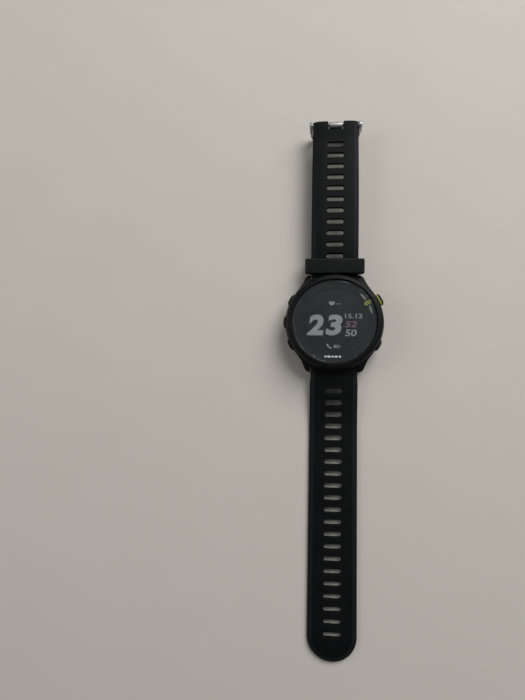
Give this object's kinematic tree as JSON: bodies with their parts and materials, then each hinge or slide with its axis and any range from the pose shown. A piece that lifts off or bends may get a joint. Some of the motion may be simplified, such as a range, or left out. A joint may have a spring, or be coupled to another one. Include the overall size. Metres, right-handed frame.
{
  "type": "gps running watch",
  "caption": "Round polymer sports watch with push buttons round the case, a glass lens over a digital display, a heart-rate sensor in the back and a slotted silicone strap with a steel buckle.",
  "frame": {"origin": "middle of the sensor window's flat outer face, on the plane the watch rests on", "axes": "+X towards three o'clock, +Y towards twelve o'clock and the buckle, +Z out of the display"},
  "size_m": [0.0429, 0.23, 0.0116],
  "materials": {
    "case_polymer": "moulded, fine texture",
    "bezel_polymer": "satin",
    "lens_glass": "polished, over a dark reflective display",
    "window_glass": "polished, tinted",
    "seal_rubber": "matte",
    "steel": "brushed",
    "circuit": "solder resist",
    "cell_wrap": "foil",
    "gold": "plated",
    "accent": "moulded",
    "strap_silicone": "matte, soft touch"
  },
  "bodies": {
    "case": {"mid_case": "case_polymer", "bezel": "bezel_polymer", "lens": "lens_glass", "lens_gasket": "seal_rubber", "back_cover": "case_polymer", "back_cover_gasket": "seal_rubber", "back_cover_screw_1": "steel", "back_cover_screw_2": "steel", "back_cover_screw_3": "steel", "back_cover_screw_4": "steel", "sensor_window": "window_glass", "sensor_board": "circuit", "charging_port": "case_polymer", "charging_contact_1": "gold", "charging_contact_2": "gold", "charging_contact_3": "gold", "charging_contact_4": "gold", "display_panel": "lens_glass", "display_frame": "case_polymer", "display_flex": "circuit", "main_board": "circuit", "shield_can": "steel", "battery": "cell_wrap", "vibration_motor": "steel", "beeper": "gold", "gnss_antenna": "gold", "start_switch": "steel", "back_switch": "steel", "light_switch": "steel", "up_switch": "steel", "down_switch": "steel"},
    "start_button": {"start_button": "case_polymer", "start_button_clip": "steel", "start_button_accent": "accent"},
    "back_button": {"back_button": "case_polymer", "back_button_clip": "steel"},
    "light_button": {"light_button": "case_polymer", "light_button_clip": "steel"},
    "up_button": {"up_button": "case_polymer", "up_button_clip": "steel"},
    "down_button": {"down_button": "case_polymer", "down_button_clip": "steel"},
    "upper_strap_1": {"upper_strap_1": "strap_silicone", "upper_spring_bar": "steel"},
    "upper_release_pin": {"upper_release_pin": "steel"},
    "keeper": {"keeper": "strap_silicone"},
    "upper_strap_2": {"upper_strap_2": "strap_silicone"},
    "upper_strap_3": {"upper_strap_3": "strap_silicone"},
    "buckle": {"buckle_frame": "steel", "buckle_bar": "steel"},
    "buckle_tang": {"buckle_tang": "steel"},
    "lower_strap_1": {"lower_strap_1": "strap_silicone", "lower_spring_bar": "steel"},
    "lower_release_pin": {"lower_release_pin": "steel"},
    "lower_strap_2": {"lower_strap_2": "strap_silicone"},
    "lower_strap_3": {"lower_strap_3": "strap_silicone"},
    "lower_strap_4": {"lower_strap_4": "strap_silicone"}
  },
  "joints": [
    {"name": "start_button_press", "type": "slide", "parent": "case", "child": "start_button", "axis": [-0.8862, -0.4633, 0], "range_m": [0, 0.0005], "stiffness_N_per_m": 1000},
    {"name": "back_button_press", "type": "slide", "parent": "case", "child": "back_button", "axis": [-0.8862, 0.4633, 0], "range_m": [0, 0.0005], "stiffness_N_per_m": 1000},
    {"name": "light_button_press", "type": "slide", "parent": "case", "child": "light_button", "axis": [0.8862, -0.4633, 0], "range_m": [0, 0.0005], "stiffness_N_per_m": 1000},
    {"name": "up_button_press", "type": "slide", "parent": "case", "child": "up_button", "axis": [1, 0, 0], "range_m": [0, 0.0005], "stiffness_N_per_m": 1000},
    {"name": "down_button_press", "type": "slide", "parent": "case", "child": "down_button", "axis": [0.8862, 0.4633, 0], "range_m": [0, 0.0005], "stiffness_N_per_m": 1000},
    {"name": "upper_strap_hinge", "type": "hinge", "parent": "case", "child": "upper_strap_1", "pos_m": [0, 0.0185, 0.0043], "axis": [-1, 0, 0], "range_deg": [-5, 70]},
    {"name": "upper_release", "type": "slide", "parent": "upper_strap_1", "child": "upper_release_pin", "axis": [-1, 0, 0], "range_m": [0, 0.0016], "stiffness_N_per_m": 200},
    {"name": "keeper_slide", "type": "slide", "parent": "upper_strap_1", "child": "keeper", "axis": [0, 0.988, 0.1546], "range_m": [0, 0.01]},
    {"name": "upper_strap_bend_1", "type": "hinge", "parent": "upper_strap_1", "child": "upper_strap_2", "pos_m": [0, 0.0465, 0.00728], "axis": [-1, 0, 0], "range_deg": [0, 30], "stiffness_Nm_per_rad": 0.005},
    {"name": "upper_strap_bend_2", "type": "hinge", "parent": "upper_strap_2", "child": "upper_strap_3", "pos_m": [0, 0.0665, 0.00767], "axis": [-1, 0, 0], "range_deg": [0, 30], "stiffness_Nm_per_rad": 0.005},
    {"name": "buckle_hinge", "type": "hinge", "parent": "upper_strap_3", "child": "buckle", "pos_m": [0, 0.0882, 0.00889], "axis": [1, 0, 0], "range_deg": [-42, 101]},
    {"name": "tang_hinge", "type": "hinge", "parent": "buckle", "child": "buckle_tang", "pos_m": [0, 0.0882, 0.00889], "axis": [1, 0, 0], "range_deg": [-13, 82]},
    {"name": "lower_strap_hinge", "type": "hinge", "parent": "case", "child": "lower_strap_1", "pos_m": [0, -0.0185, 0.0043], "axis": [1, 0, 0], "range_deg": [-30, 68]},
    {"name": "lower_release", "type": "slide", "parent": "lower_strap_1", "child": "lower_release_pin", "axis": [-1, 0, 0], "range_m": [0, 0.0016], "stiffness_N_per_m": 200},
    {"name": "lower_strap_bend_1", "type": "hinge", "parent": "lower_strap_1", "child": "lower_strap_2", "pos_m": [0, -0.0465, 0], "axis": [1, 0, 0], "range_deg": [0, 30], "stiffness_Nm_per_rad": 0.005},
    {"name": "lower_strap_bend_2", "type": "hinge", "parent": "lower_strap_2", "child": "lower_strap_3", "pos_m": [0, -0.0765, 0], "axis": [1, 0, 0], "range_deg": [0, 30], "stiffness_Nm_per_rad": 0.005},
    {"name": "lower_strap_bend_3", "type": "hinge", "parent": "lower_strap_3", "child": "lower_strap_4", "pos_m": [0, -0.1065, 0], "axis": [1, 0, 0], "range_deg": [0, 30], "stiffness_Nm_per_rad": 0.005}
  ],
  "couplings": [
    {"joint": "upper_strap_bend_2", "follows": "upper_strap_bend_1", "ratio": 1},
    {"joint": "lower_strap_bend_2", "follows": "lower_strap_bend_1", "ratio": 1},
    {"joint": "lower_strap_bend_3", "follows": "lower_strap_bend_1", "ratio": 1}
  ]
}
